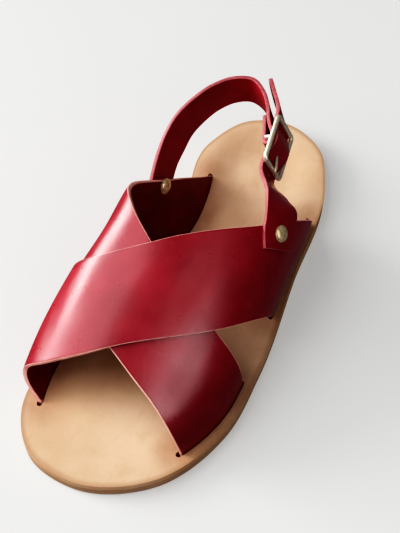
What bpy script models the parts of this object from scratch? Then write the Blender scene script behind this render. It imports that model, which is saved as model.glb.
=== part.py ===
"""Left strappy sandal: two crossed straps, a slingback with a buckle, a slotted footbed and a flat sole.

+X is the outer (lateral) side, -Y the toe and +Z up, with the floor at z = 0.
Lengths are written in millimetres, and MM turns them into metres where an object is made.
"""
import math

import bmesh
import bpy
import numpy as np
from mathutils import Matrix, Vector

MM = 0.001
GAP = 0.3

# Sole, in millimetres
OUTSOLE_THICKNESS = 4.2
FOOTBED_THICKNESS = 4.0
FOOTBED_BOTTOM = OUTSOLE_THICKNESS + GAP
FOOTBED_TOP = FOOTBED_BOTTOM + FOOTBED_THICKNESS
TOE_SPRING = 1.8
TOE_SPRING_FROM = -80.0
TOE_END = -123.0
SOLE_EDGE_ROUND = 0.8
FOOTBED_EDGE_ROUND = 1.1
SOLE_ROWS = 32
SOLE_COLUMNS = 12

# Moulded heel cup: an oval dish that fades out towards the arch
CUP_CENTRE = (-1.5, 86.0)
CUP_HALF_WIDTH = 34.0
CUP_HALF_LENGTH = 38.0
CUP_DEPTH = 2.0
CUP_RIM = 1.3
CUP_FADE = (30.0, 75.0)
CUP_FLAT = 0.3

# Straps over the foot
STRAP_THICKNESS = 2.2
CROSSING_OVERLAP = 0.4
SLOT_TOP = FOOTBED_TOP + 1.0
SLOT_END_GAP = 0.8
SLOT_CUT_LOW = FOOTBED_BOTTOM - 1.0
SLOT_CUT_HIGH = FOOTBED_TOP + 3.0
SLOT_SEGMENTS = 16
STRAP_END = FOOTBED_BOTTOM + GAP
STRAP_ROWS = 44
STRAP_COLUMNS = 10

# Slingback, buckle and rivets
BAND_THICKNESS = 1.6
BAND_COLUMNS = 4
HEEL_SEGMENTS = 72
FASTENING_SEGMENTS = 52
BUCKLE_LENGTH = 28.5
BUCKLE_WIDTH = 22.0
BUCKLE_WIRE = 1.15
BUCKLE_CORNER = 2.0
BAR_DROP = 3.0
PRONG_WIRE = 0.8
PRONG_START = -10
PRONG_ROOM_START = 10
PRONG_TIP = 2.0
RIVET_SHANK = 2.0
RIVET_CAP = 4.2
RIVET_CAP_HEIGHT = 1.7
RIVET_STANDOFF = 0.5
RIVET_HOLE_LENGTH = 24.0
ROUND_STEPS = 20

# Outline of the sole seen from above: x, y, round from the heel by the outer side
OUTLINE = np.array([
    (-1.5, 124.5),
    (21.0, 115.0),
    (34.8, 90.0),
    (42.0, 30.0),
    (48.5, -30.0),
    (47.0, -68.0),
    (28.5, -105.0),
    (-5.5, -122.8),
    (-33.0, -117.5),
    (-46.0, -101.0),
    (-50.0, -78.0),
    (-43.0, -33.0),
    (-27.5, 28.0),
    (-37.0, 92.0),
    (-23.5, 117.0),
])

# The last inside the straps. Each row is one section across the foot at the given y:
# y, medial slot x, medial wall x and z, ridge x and z, lateral shoulder x and z, lateral slot x
LAST = np.array([
    (-105, -35.0, -44, 24, -16, 40, 12.0, 29, 22.0),
    (-90, -40.0, -46.5, 28, -15, 44, 19.5, 34, 33.0),
    (-65, -43.0, -48.5, 36, -14, 53, 28.5, 39, 43.0),
    (-40, -38.0, -47, 45, -12, 62, 32.5, 46, 44.5),
    (-15, -32.0, -43, 54, -10, 71, 33.5, 52, 41.5),
    (10, -25.0, -42, 59, -8, 79, 34.0, 56, 39.0),
    (40, -22.0, -36, 52, -5, 86, 34.0, 58, 36.8),
    (70, -27.5, -32, 44, -2, 90, 32.0, 58, 32.8),
])
# Where the five guide points lie along a section, from the medial slot (0) to the lateral slot (1)
SECTION_KNOTS = np.array([0.0, 0.22, 0.5, 0.75, 1.0])

# Edges of the straps on the last: share of the section, y of the front edge, y of the rear edge
OVER_STRAP = np.array([
    (0.00, -93.0, -44.0),
    (0.20, -88.5, -38.5),
    (0.35, -86.0, -34.7),
    (0.50, -75.0, -20.5),
    (0.65, -53.5, 3.5),
    (0.80, -28.0, 32.5),
    (1.00, 0.5, 63.5),
])
UNDER_STRAP = np.array([
    (0.00, 2.0, 69.5),
    (0.10, -20.0, 48.0),
    (0.20, -44.0, 18.5),
    (0.35, -61.0, -7.0),
    (0.50, -70.0, -24.0),
    (0.65, -80.5, -38.0),
    (0.80, -87.0, -43.4),
    (1.00, -88.5, -42.0),
])

# Rivets on the last: share of the section, y
RIVET_MEDIAL = (0.135, 31.0)
RIVET_LATERAL = (0.745, 15.0)
# Tab of the slingback on the last: share of the section, y, width
HEEL_TAB = ((0.09, 23.0, 17.0), (*RIVET_MEDIAL, 19.0))

# Buckle: middle of its frame, the way to the toe along the strap, and the way it faces
BUCKLE_CENTRE = np.array((14.1, 65.2, 58.3))
BUCKLE_FORWARD = np.array((0.15, -0.975, -0.155))
BUCKLE_FACING = np.array((0.92, 0.08, 0.37))

# Slingback from its rivet round the heel: x, y, z of its middle, heading and tilt of its outer face, width
HEEL_LOOP = np.array([
    (-38.6, 42, 46.5, 183, -23, 19.0),
    (-38.3, 50, 52.0, 179, -25, 18.5),
    (-37.5, 60, 56.0, 170, -20, 18.0),
    (-34.0, 71, 59.0, 153, -12, 18.0),
    (-28.5, 82, 61.0, 130, -5, 18.0),
    (-21.0, 90, 62.0, 106, 0, 18.0),
    (-13.0, 93, 62.3, 84, 4, 18.0),
    (-5.5, 90, 61.6, 50, 9, 17.5),
    (0.5, 84.5, 60.0, 38, 14, 16.5),
])
# Tab of the fastening strap on the last: share and y of its upper edge, of its lower edge, extra height
FASTENING_TAB = np.array([
    (0.725, 3.0, 0.815, 15.0, 0.0),
    (0.700, 10.0, 0.795, 19.0, 0.0),
    (0.688, 15.5, 0.768, 29.5, 0.2),
])
# Fastening strap from its tab to the buckle: x, y, z of its upper edge, x, y, z of its lower edge
FASTENING_RUN = np.array([
    (22.5, 29.5, 67.5, 30.5, 38.0, 54.0),
])
# Free tail of the fastening strap behind the buckle, in the columns of the slingback
FASTENING_TAIL = np.array([
    (7.4, 83.4, 60.9, 28, 16, 15.5),
    (-0.4, 93.6, 62.3, 34, 11, 13.5),
    (-6.5, 102, 63.0, 36, 9, 6.0),
])


def smooth(stations, values, at):
    """Cubic curve through the values, with each slope taken from its neighbours."""
    slopes = np.gradient(values, stations, axis=0, edge_order=2)
    left = int(np.clip(np.searchsorted(stations, at) - 1, 0, len(stations) - 2))
    span = stations[left + 1] - stations[left]
    t = (at - stations[left]) / span
    start = (1 + 2 * t) * (1 - t) ** 2 * values[left] + t * (1 - t) ** 2 * span * slopes[left]
    end = t * t * (3 - 2 * t) * values[left + 1] - t * t * (1 - t) * span * slopes[left + 1]
    return start + end


def fade(low, high, value):
    """0 below low, 1 above high and a soft step between."""
    t = np.clip((value - low) / (high - low), 0.0, 1.0)
    return t * t * (3 - 2 * t)


def unit(vector):
    return vector / np.linalg.norm(vector)


def last_point(share, y):
    """Point on the last at a share of the section that lies at y."""
    section = smooth(LAST[:, 0], LAST[:, 1:], y)
    guides = np.array([
        (section[0], SLOT_TOP),
        section[1:3],
        section[3:5],
        section[5:7],
        (section[7], SLOT_TOP),
    ])
    x, z = smooth(SECTION_KNOTS, guides, share)
    return np.array((x, y, z))


def last_normal(share, y):
    """Outward direction on the last."""
    across = last_point(min(share + 0.01, 1.0), y) - last_point(max(share - 0.01, 0.0), y)
    along = last_point(share, y + 0.5) - last_point(share, y - 0.5)
    return unit(np.cross(across, along))


def level(vector):
    """The part of a direction that lies flat."""
    return unit(np.array((vector[0], vector[1], 0.0)))


def on_last(share, y, height):
    return last_point(share, y) + last_normal(share, y) * height


def facing(heading, tilt):
    """Direction from its heading in the XY plane and its tilt up, in degrees."""
    heading = math.radians(heading)
    tilt = math.radians(tilt)
    flat = math.cos(tilt)
    return np.array((flat * math.cos(heading), flat * math.sin(heading), math.sin(tilt)))


def table_rows(table):
    """Rows of a strap table as middle, outer face and width."""
    return np.array([np.concatenate((row[:3], facing(row[3], row[4]), row[5:])) for row in table])


def wall_row(share, y, height, width):
    """Middle, outer face and width of a strap that lies flat on the outside of the upper."""
    return np.concatenate((on_last(share, y, height), last_normal(share, y), (width,)))


def edge_rows(rows):
    """Rows of middle, outer face and width, turned into lower edge, upper edge and cup."""
    forward = np.gradient(rows[:, :3], axis=0)
    result = []
    for row, ahead in zip(rows, forward):
        half = unit(np.cross(row[3:6], ahead)) * row[6] / 2
        result.append(np.concatenate((row[:3] - half, row[:3] + half, (0.0,))))
    return result


def tab_row(upper, lower, height):
    """Row across the wide tab, cupped to follow the wall: share and y of its upper and lower edge."""
    top = on_last(*upper, height)
    bottom = on_last(*lower, height)
    middle = on_last((upper[0] + lower[0]) / 2, (upper[1] + lower[1]) / 2, height)
    cup = np.linalg.norm(middle - (top + bottom) / 2)
    return np.concatenate((bottom, top, (cup,)))


BUCKLE_ALONG = unit(BUCKLE_FORWARD)
BUCKLE_ACROSS = unit(np.cross(BUCKLE_FACING, BUCKLE_ALONG))
BUCKLE_OUT = np.cross(BUCKLE_ALONG, BUCKLE_ACROSS)
BAR_PLACE = BUCKLE_LENGTH / 2 - BUCKLE_WIRE
RAIL_PLACE = BUCKLE_WIDTH / 2 - BUCKLE_WIRE


def at_buckle(along, across, out):
    """Point in the frame of the buckle: towards the toe, towards the sole and outwards."""
    return BUCKLE_CENTRE + BUCKLE_ALONG * along + BUCKLE_ACROSS * across + BUCKLE_OUT * out


def buckle_row(along, out, side):
    """Strap row inside the buckle; side is 1 for a strap that runs to the heel and -1 for one to the toe."""
    half = side * BAND_IN_BUCKLE / 2
    return np.concatenate((at_buckle(along, half, out), at_buckle(along, -half, out), (0.0,)))


# Layers of leather inside the buckle
BAND_UNDER_BAR = -(BUCKLE_WIRE + GAP + BAND_THICKNESS / 2)
BAND_LAYER = BAND_THICKNESS + 2 * GAP
FOLD_RADIUS = BUCKLE_WIRE + GAP + BAND_THICKNESS / 2
FOLD_TOP = FOLD_RADIUS - BAR_DROP
BAND_HUMP = FOLD_TOP + BAND_LAYER - BAND_UNDER_BAR
BAND_IN_BUCKLE = 16.5
RETURN_LENGTH = 15.0
# How far the slingback sags inwards behind the buckle
HEEL_SAG = 2.6
# Strap rows inside the buckle, as shares of the way from the centre bar to the front bar
HEEL_SHARES = (-1.1, -0.66, -0.33)
FASTENING_SHARES = (1.1, 0.75, 0.4, 0.0, -0.4, -0.75, -1.1)


def hump(along):
    """Height of the fastening strap's middle, from one end bar over the centre bar to the other."""
    return BAND_UNDER_BAR + BAND_HUMP * math.cos(math.pi * along / (2 * BAR_PLACE)) ** 2


def heel_rows():
    """Slingback: tab on the inner wall, loop round the heel, under the end bar and round the centre bar."""
    height = CROSSING_OVERLAP / 2 + GAP + BAND_THICKNESS / 2
    tab = [wall_row(share, y, height, width) for share, y, width in HEEL_TAB]
    rows = edge_rows(np.concatenate((tab, table_rows(HEEL_LOOP))))
    for part in HEEL_SHARES:
        sag = HEEL_SAG * (part / HEEL_SHARES[0]) ** 2
        rows.append(buckle_row(BAR_PLACE * part, hump(BAR_PLACE * part) - BAND_LAYER - sag, -1))
    for degrees in (90, 45, 0, -45, -90):
        angle = math.radians(degrees)
        rows.append(buckle_row(FOLD_RADIUS * math.cos(angle), FOLD_RADIUS * math.sin(angle) - BAR_DROP, -1))
    fold_bottom = -FOLD_RADIUS - BAR_DROP
    return_end = BAND_UNDER_BAR - 2 * BAND_LAYER - HEEL_SAG
    for part in (0.5, 1.0):
        rows.append(buckle_row(-RETURN_LENGTH * part, fold_bottom + (return_end - fold_bottom) * part, -1))
    return np.array(rows)


def fastening_rows():
    """Fastening strap: wide tab on the outer wall, through the buckle, and its free tail."""
    height = STRAP_THICKNESS - CROSSING_OVERLAP / 2 + GAP + BAND_THICKNESS / 2
    rows = [tab_row(row[:2], row[2:4], height + row[4]) for row in FASTENING_TAB]
    rows += [np.concatenate((row[3:], row[:3], (0.0,))) for row in FASTENING_RUN]
    for part in FASTENING_SHARES:
        rows.append(buckle_row(BAR_PLACE * part, hump(BAR_PLACE * part), 1))
    rows += edge_rows(table_rows(FASTENING_TAIL))
    return np.array(rows)


def band_place(rows):
    """Function that puts a grid on a strap: u along it, v from its lower to its upper edge."""
    middles = (rows[:, :3] + rows[:, 3:6]) / 2
    steps = np.linalg.norm(np.diff(middles, axis=0), axis=1)
    stations = np.concatenate(((0.0,), np.cumsum(steps)))

    def place(u, v):
        at = u * stations[-1]
        row = smooth(stations, rows, at)
        ahead = smooth(stations, middles, min(at + 0.2, stations[-1]))
        behind = smooth(stations, middles, max(at - 0.2, 0.0))
        across = row[3:6] - row[:3]
        outward = unit(np.cross(ahead - behind, across))
        return row[:3] + across * v + outward * row[6] * (1 - (2 * v - 1) ** 2)

    return place


def strap_place(edges, height):
    """Function that puts a grid on a strap over the foot, with an end row down in each slot."""

    def place(u, v):
        row = round(u * STRAP_ROWS)
        share = min(max((row - 1) / (STRAP_ROWS - 2), 0.0), 1.0)
        front, rear = smooth(edges[:, 0], edges[:, 1:], share)
        y = front + (rear - front) * v
        point = last_point(share, y)
        normal = last_normal(share, y)
        if row in (1, STRAP_ROWS - 1):
            normal = unit(normal + level(normal))
        if row in (0, STRAP_ROWS):
            normal = level(normal)
            point[2] = STRAP_END
        return point + normal * height

    return place


def slot_place(edges, share, height):
    """Function that puts a grid upright through a slot."""
    row = edges[0] if share == 0.0 else edges[-1]
    front = row[1] - SLOT_END_GAP
    rear = row[2] + SLOT_END_GAP

    def place(u, v):
        y = front + (rear - front) * u
        point = last_point(share, y) + level(last_normal(share, y)) * height
        point[2] = SLOT_CUT_LOW + (SLOT_CUT_HIGH - SLOT_CUT_LOW) * v
        return point

    return place


def grid_mesh(name, columns, rows, place):
    """Grid whose points are moved to where the place function puts them."""
    bm = bmesh.new()
    bmesh.ops.create_grid(bm, x_segments=columns, y_segments=rows, size=0.5)
    for vertex in bm.verts:
        vertex.co = Vector(place(vertex.co.x + 0.5, vertex.co.y + 0.5)) * MM
    mesh = bpy.data.meshes.new(name)
    bm.to_mesh(mesh)
    bm.free()
    return mesh


def outline_radius():
    """Function that gives the distance from the origin to the outline, by its angle."""
    points = np.concatenate((OUTLINE[-3:], OUTLINE, OUTLINE[:3]))
    steps = np.linalg.norm(np.diff(points, axis=0), axis=1)
    stations = np.concatenate(((0.0,), np.cumsum(steps)))
    samples = np.array([smooth(stations, points, at) for at in np.linspace(stations[3], stations[-3], 400)])
    angles = np.arctan2(samples[:, 1], samples[:, 0])
    lengths = np.hypot(samples[:, 0], samples[:, 1])
    return lambda angle: np.interp(angle, angles, lengths, period=2 * math.pi)


def toe_lift(y):
    rise = max(0.0, (TOE_SPRING_FROM - y) / (TOE_SPRING_FROM - TOE_END))
    return TOE_SPRING * rise ** 2


def heel_cup(x, y):
    """Height of the footbed over its plain top: a dish with a raised rim under the heel."""
    from_middle = math.hypot((x - CUP_CENTRE[0]) / CUP_HALF_WIDTH, (y - CUP_CENTRE[1]) / CUP_HALF_LENGTH)
    bowl = fade(CUP_FLAT, 1.0, from_middle) * (CUP_DEPTH + CUP_RIM) - CUP_DEPTH
    return bowl * fade(CUP_FADE[0], CUP_FADE[1], y)


def sole_mesh(name, bottom, top):
    """Sole layer: a grid spread over the outline and thickened, with top and bottom at their heights."""
    radius = outline_radius()
    half_width = np.ptp(OUTLINE[:, 0]) / 2
    half_length = np.ptp(OUTLINE[:, 1]) / 2
    bm = bmesh.new()
    bmesh.ops.create_grid(bm, x_segments=SOLE_COLUMNS, y_segments=SOLE_ROWS, size=1.0)
    for vertex in bm.verts:
        a, b = vertex.co.x, vertex.co.y
        disc = np.array((a * math.sqrt(1 - b * b / 2), b * math.sqrt(1 - a * a / 2)))
        angle = math.atan2(disc[1] * half_length, disc[0] * half_width)
        reach = np.linalg.norm(disc) * radius(angle)
        vertex.co = (reach * math.cos(angle), reach * math.sin(angle), 0.0)
    bmesh.ops.solidify(bm, geom=bm.faces[:], thickness=1.0)
    middle = sum(vertex.co.z for vertex in bm.verts) / len(bm.verts)
    for vertex in bm.verts:
        x, y, z = vertex.co
        height = (top if z > middle else bottom)(x, y) + toe_lift(y)
        vertex.co = Vector((x, y, height)) * MM
    bmesh.ops.recalc_face_normals(bm, faces=bm.faces[:])
    mesh = bpy.data.meshes.new(name)
    bm.to_mesh(mesh)
    bm.free()
    return mesh


def plain_material(name, colour, roughness, metallic=0.0):
    material = bpy.data.materials.new(name)
    material.use_nodes = True
    shader = material.node_tree.nodes["Principled BSDF"]
    shader.inputs["Base Color"].default_value = (*colour, 1.0)
    shader.inputs["Roughness"].default_value = roughness
    shader.inputs["Metallic"].default_value = metallic
    return material


def add_piece(name, mesh, material):
    piece = bpy.data.objects.new(name, mesh)
    mesh.materials.clear()
    mesh.materials.append(material)
    PIECES.objects.link(piece)
    return piece


def add_cutter(name, mesh):
    cutter = bpy.data.objects.new(name, mesh)
    CUTTERS.objects.link(cutter)
    cutter.hide_render = True
    cutter.display_type = "WIRE"
    return cutter


def thicken(piece, thickness):
    solidify = piece.modifiers.new("Leather thickness", "SOLIDIFY")
    solidify.thickness = thickness * MM
    solidify.offset = 0.0
    solidify.use_even_offset = True


def round_edges(piece, width):
    bevel = piece.modifiers.new("Rounded edge", "BEVEL")
    bevel.width = width * MM
    bevel.segments = 2
    bevel.limit_method = "ANGLE"
    bevel.angle_limit = math.radians(50)


def combine(piece, other, operation):
    boolean = piece.modifiers.new(f"{operation.lower()} {other.name}", "BOOLEAN")
    boolean.operation = operation
    boolean.object = other
    boolean.solver = "EXACT"


def wire_mesh(name, points, radius, closed=False):
    """Round wire along points, as a welded mesh."""
    curve = bpy.data.curves.new(name, "CURVE")
    curve.dimensions = "3D"
    curve.bevel_depth = radius * MM
    curve.bevel_resolution = 2
    curve.use_fill_caps = True
    spline = curve.splines.new("POLY")
    spline.points.add(len(points) - 1)
    for spline_point, point in zip(spline.points, points):
        spline_point.co = (*(Vector(point) * MM), 1.0)
    spline.use_cyclic_u = closed
    holder = bpy.data.objects.new(name, curve)
    bpy.context.scene.collection.objects.link(holder)
    graph = bpy.context.evaluated_depsgraph_get()
    mesh = bpy.data.meshes.new_from_object(holder.evaluated_get(graph))
    bpy.data.objects.remove(holder)
    bm = bmesh.new()
    bm.from_mesh(mesh)
    bmesh.ops.remove_doubles(bm, verts=bm.verts[:], dist=0.01 * MM)
    bmesh.ops.recalc_face_normals(bm, faces=bm.faces[:])
    bm.to_mesh(mesh)
    bm.free()
    return mesh


def pin_mesh(name, middle, direction):
    """Straight round pin through a point, as wide as a rivet hole."""
    radius = (RIVET_SHANK + GAP) * MM
    bm = bmesh.new()
    bmesh.ops.create_cone(
        bm,
        cap_ends=True,
        segments=ROUND_STEPS,
        radius1=radius,
        radius2=radius,
        depth=RIVET_HOLE_LENGTH * MM,
    )
    turn = Vector((0, 0, 1)).rotation_difference(Vector(direction)).to_matrix().to_4x4()
    bmesh.ops.transform(bm, matrix=Matrix.Translation(Vector(middle) * MM) @ turn, verts=bm.verts[:])
    mesh = bpy.data.meshes.new(name)
    bm.to_mesh(mesh)
    bm.free()
    return mesh


def rivet_piece(name, spot, inner, outer, material):
    """Rivet through the wall: a shank with a domed cap on each face, at heights inner and outer."""
    share, y = spot
    normal = Vector(last_normal(share, y))
    profile = [
        (0.0, outer + RIVET_CAP_HEIGHT),
        (RIVET_CAP * 0.5, outer + RIVET_CAP_HEIGHT * 0.85),
        (RIVET_CAP * 0.85, outer + RIVET_CAP_HEIGHT * 0.5),
        (RIVET_CAP, outer),
        (RIVET_SHANK, outer),
        (RIVET_SHANK, inner),
        (RIVET_CAP, inner),
        (RIVET_CAP * 0.85, inner - RIVET_CAP_HEIGHT * 0.5),
        (RIVET_CAP * 0.5, inner - RIVET_CAP_HEIGHT * 0.85),
        (0.0, inner - RIVET_CAP_HEIGHT),
    ]
    bm = bmesh.new()
    points = [bm.verts.new((radius * MM, 0.0, height * MM)) for radius, height in profile]
    for start, end in zip(points, points[1:]):
        bm.edges.new((start, end))
    mesh = bpy.data.meshes.new(name)
    bm.to_mesh(mesh)
    bm.free()
    piece = add_piece(name, mesh, material)
    screw = piece.modifiers.new("Turned", "SCREW")
    screw.steps = ROUND_STEPS
    screw.render_steps = ROUND_STEPS
    screw.use_merge_vertices = True
    screw.merge_threshold = 0.01 * MM
    turn = Vector((0, 0, 1)).rotation_difference(normal).to_matrix().to_4x4()
    piece.matrix_world = Matrix.Translation(Vector(last_point(share, y)) * MM) @ turn
    return piece


def buckle_outline():
    """Rounded rectangle of the buckle's wire, in the frame of the buckle."""
    points = []
    for along_sign, across_sign, start in ((1, 1, 0), (-1, 1, 90), (-1, -1, 180), (1, -1, 270)):
        for step in range(4):
            angle = math.radians(start + 30 * step)
            along = along_sign * (BAR_PLACE - BUCKLE_CORNER) + BUCKLE_CORNER * math.cos(angle)
            across = across_sign * (RAIL_PLACE - BUCKLE_CORNER) + BUCKLE_CORNER * math.sin(angle)
            points.append(at_buckle(along, across, 0.0))
    return points


def prong_points(start):
    """Prong: a ring round the centre bar from a start angle, then straight to its rest on the front bar."""
    ring = BUCKLE_WIRE + GAP + PRONG_WIRE
    points = []
    for degrees in range(start, -271, -20):
        angle = math.radians(degrees)
        points.append(at_buckle(ring * math.cos(angle), 0.0, ring * math.sin(angle) - BAR_DROP))
    points.append(at_buckle(BAR_PLACE, 0.0, ring))
    points.append(at_buckle(BAR_PLACE + PRONG_TIP, 0.0, ring))
    return points


def make_upper(leather):
    under_height = -(STRAP_THICKNESS - CROSSING_OVERLAP) / 2
    over_height = -under_height
    upper = add_piece(
        "upper",
        grid_mesh("under strap", STRAP_ROWS, STRAP_COLUMNS, strap_place(UNDER_STRAP, under_height)),
        leather,
    )
    thicken(upper, STRAP_THICKNESS)
    over = add_cutter(
        "over strap",
        grid_mesh("over strap", STRAP_ROWS, STRAP_COLUMNS, strap_place(OVER_STRAP, over_height)),
    )
    thicken(over, STRAP_THICKNESS)
    combine(upper, over, "UNION")
    slots = []
    for label, edges, height in (("under", UNDER_STRAP, under_height), ("over", OVER_STRAP, over_height)):
        for side, share in (("medial", 0.0), ("lateral", 1.0)):
            name = f"{label} {side} slot"
            slot = add_cutter(name, grid_mesh(name, SLOT_SEGMENTS, 2, slot_place(edges, share, height)))
            thicken(slot, STRAP_THICKNESS + 2 * GAP)
            slots.append(slot)
    return upper, slots


def make_band(name, rows, segments, leather):
    band = add_piece(name, grid_mesh(name, segments, BAND_COLUMNS, band_place(rows)), leather)
    thicken(band, BAND_THICKNESS)
    return band


def make_rivet(name, spot, inner, outer, metal, through):
    """Rivet and the holes for it."""
    share, y = spot
    hole = add_cutter(
        f"{name} hole",
        pin_mesh(f"{name} hole", last_point(share, y), last_normal(share, y)),
    )
    for piece in through:
        combine(piece, hole, "DIFFERENCE")
    return rivet_piece(name, spot, inner - RIVET_STANDOFF, outer + RIVET_STANDOFF, metal)


def make_buckle(metal, heel, fastening):
    frame = add_piece("buckle_frame", wire_mesh("frame", buckle_outline(), BUCKLE_WIRE, closed=True), metal)
    bar_points = [
        at_buckle(0.0, -RAIL_PLACE, 0.0),
        at_buckle(0.0, -RAIL_PLACE, -BAR_DROP),
        at_buckle(0.0, RAIL_PLACE, -BAR_DROP),
        at_buckle(0.0, RAIL_PLACE, 0.0),
    ]
    bar = add_cutter("centre bar", wire_mesh("centre bar", bar_points, BUCKLE_WIRE))
    combine(frame, bar, "UNION")
    add_piece("buckle_prong", wire_mesh("prong", prong_points(PRONG_START), PRONG_WIRE), metal)
    room_points = prong_points(PRONG_ROOM_START)
    room = add_cutter("prong room", wire_mesh("prong room", room_points, PRONG_WIRE + 2 * GAP))
    combine(fastening, room, "DIFFERENCE")
    combine(heel, room, "DIFFERENCE")


def main():
    leather = plain_material("crimson leather", (0.36, 0.022, 0.035), 0.42)
    natural = plain_material("natural leather", (0.78, 0.54, 0.36), 0.6)
    brown = plain_material("brown sole", (0.39, 0.235, 0.145), 0.65)
    nickel = plain_material("nickel", (0.72, 0.7, 0.66), 0.3, 1.0)
    brass = plain_material("antique brass", (0.55, 0.42, 0.25), 0.35, 1.0)

    outsole = add_piece(
        "outsole",
        sole_mesh("outsole", lambda x, y: 0.0, lambda x, y: OUTSOLE_THICKNESS),
        brown,
    )
    round_edges(outsole, SOLE_EDGE_ROUND)
    footbed = add_piece(
        "footbed",
        sole_mesh("footbed", lambda x, y: FOOTBED_BOTTOM, lambda x, y: FOOTBED_TOP + heel_cup(x, y)),
        natural,
    )
    round_edges(footbed, FOOTBED_EDGE_ROUND)
    upper, slots = make_upper(leather)
    for slot in slots:
        combine(footbed, slot, "DIFFERENCE")

    heel = make_band("heel_strap", heel_rows(), HEEL_SEGMENTS, leather)
    fastening = make_band("fastening_strap", fastening_rows(), FASTENING_SEGMENTS, leather)
    make_buckle(nickel, heel, fastening)

    under_inner = CROSSING_OVERLAP / 2 - STRAP_THICKNESS
    under_outer = CROSSING_OVERLAP / 2
    over_inner = -CROSSING_OVERLAP / 2
    over_outer = STRAP_THICKNESS - CROSSING_OVERLAP / 2
    band = GAP + BAND_THICKNESS
    make_rivet("rivet_medial", RIVET_MEDIAL, under_inner, under_outer + band, brass, (upper, heel))
    make_rivet("rivet_lateral", RIVET_LATERAL, over_inner, over_outer + band, brass, (upper, fastening))


for old in list(bpy.data.objects):
    bpy.data.objects.remove(old)
PIECES = bpy.data.collections.new("strappy sandal")
CUTTERS = bpy.data.collections.new("cutters")
bpy.context.scene.collection.children.link(PIECES)
bpy.context.scene.collection.children.link(CUTTERS)
main()
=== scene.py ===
"""Looks of the left strappy sandal: leather straps, footbed, sole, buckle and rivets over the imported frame.

The tables follow the part, in millimetres: +X outer side, -Y toe, +Z up.
"""
import math

import bmesh
import bpy
import numpy as np
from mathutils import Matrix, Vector


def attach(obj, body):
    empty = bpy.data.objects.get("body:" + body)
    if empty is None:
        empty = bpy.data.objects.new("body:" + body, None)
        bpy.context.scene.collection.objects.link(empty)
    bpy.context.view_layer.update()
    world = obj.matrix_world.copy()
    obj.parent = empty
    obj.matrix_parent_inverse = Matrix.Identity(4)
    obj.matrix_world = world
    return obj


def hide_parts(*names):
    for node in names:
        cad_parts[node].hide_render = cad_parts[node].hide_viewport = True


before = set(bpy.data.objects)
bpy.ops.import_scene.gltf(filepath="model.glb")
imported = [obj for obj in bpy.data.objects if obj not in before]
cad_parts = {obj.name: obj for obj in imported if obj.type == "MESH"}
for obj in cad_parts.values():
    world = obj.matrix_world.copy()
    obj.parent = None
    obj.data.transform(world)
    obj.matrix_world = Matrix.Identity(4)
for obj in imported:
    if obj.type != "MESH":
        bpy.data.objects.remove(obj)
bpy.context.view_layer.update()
BODY = "root"
MM = 0.001
# Angles between faces from which an edge is rounded, and from which it looks sharp
EDGE_DEGREES = 50
SHARP_DEGREES = 40

# Sole
OUTSOLE_THICKNESS = 4.2
FOOTBED_BOTTOM = 4.5
FOOTBED_TOP = 8.5
TOE_SPRING = 1.8
TOE_SPRING_FROM = -80.0
TOE_END = -123.0
SOLE_EDGE_ROUND = 0.6
FOOTBED_EDGE_ROUND = 1.1
SOLE_ROWS = 120
SOLE_COLUMNS = 48
SOLE_EDGE_STEPS = 4
OUTLINE_STEPS = 600
OUTLINE_WRAP = 3
CUP_CENTRE = (-1.5, 86.0)
CUP_HALF_WIDTH = 34.0
CUP_HALF_LENGTH = 38.0
CUP_DEPTH = 2.3
CUP_RIM = 1.4
CUP_FADE = (30.0, 75.0)
CUP_FLAT = 0.3

# Straps over the foot
STRAP_THICKNESS = 2.2
STRAP_CLEARANCE = 0.02
STRAP_HEIGHT = STRAP_THICKNESS / 2 + STRAP_CLEARANCE
STRAP_EDGE_ROUND = 0.5
SLOT_TOP = FOOTBED_TOP + 1.0
SLOT_ROOM = 0.25
SLOT_WIDTH = STRAP_THICKNESS + 2 * SLOT_ROOM
SLOT_END_GAP = 0.8
SLOT_CUT_LOW = FOOTBED_BOTTOM - 1.0
SLOT_CUT_HIGH = FOOTBED_TOP + 3.0
STRAP_END = FOOTBED_BOTTOM + 0.3
STRAP_ROWS = 150
STRAP_END_ROWS = 4
STRAP_COLUMNS = 44
SLOT_LEAN = 0.024
SLOT_STEPS = 40
SLOT_CUT_ROWS = 3

# Slingback, buckle and rivets
BAND_THICKNESS = 1.6
BAND_SHOWN = 2.1
BAND_EDGE_ROUND = 0.45
BAND_GAP = 0.3
TAB_GAP = 0.1
BAND_COLUMNS = 14
INNER_FINISH = 1
EDGE_FINISH = 2
LEATHER_EDGE_STEPS = 3
HEEL_SEGMENTS = 330
FASTENING_SEGMENTS = 230
BUCKLE_LENGTH = 28.5
BUCKLE_WIDTH = 22.0
BUCKLE_WIRE = 1.15
BUCKLE_PLATED = 1.3
BUCKLE_CORNER = 2.0
CORNER_STEPS = 8
BAR_WIRE = BUCKLE_WIRE * 0.98
BAR_DROP = 3.0
PRONG_WIRE = 0.8
PRONG_START = -10
PRONG_END = -270
PRONG_STEP = -10
PRONG_TIP = 2.0
PRONG_ROOM = 0.45
PRONG_POINT = 0.55
WIRE_ROUNDNESS = 4
WELD_DISTANCE = 0.01
RIVET_CAP = 4.2
RIVET_CAP_HEIGHT = 1.5
RIVET_RIM = 0.5
RIVET_SIDES = 40
RIVET_RINGS = 24
DOME_SHARE = 0.9
RIVET_STANDOFF = 0.4
HOLE_RADIUS = 1.1
HOLE_SPACING = 9.0
HOLE_STEPS = (-3, -2, 2, 3)
PUNCH_LENGTH = 8.0
PUNCH_SIDES = 24
STITCH_ROWS = (-8.0, -11.5)
STITCH_REACH = 5.6
STITCHES_IN_ROW = 5
STITCH_LENGTH = 2.1
STITCH_THREAD = 0.6
STITCH_SIDES = 10
STITCH_RINGS = 6

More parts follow.
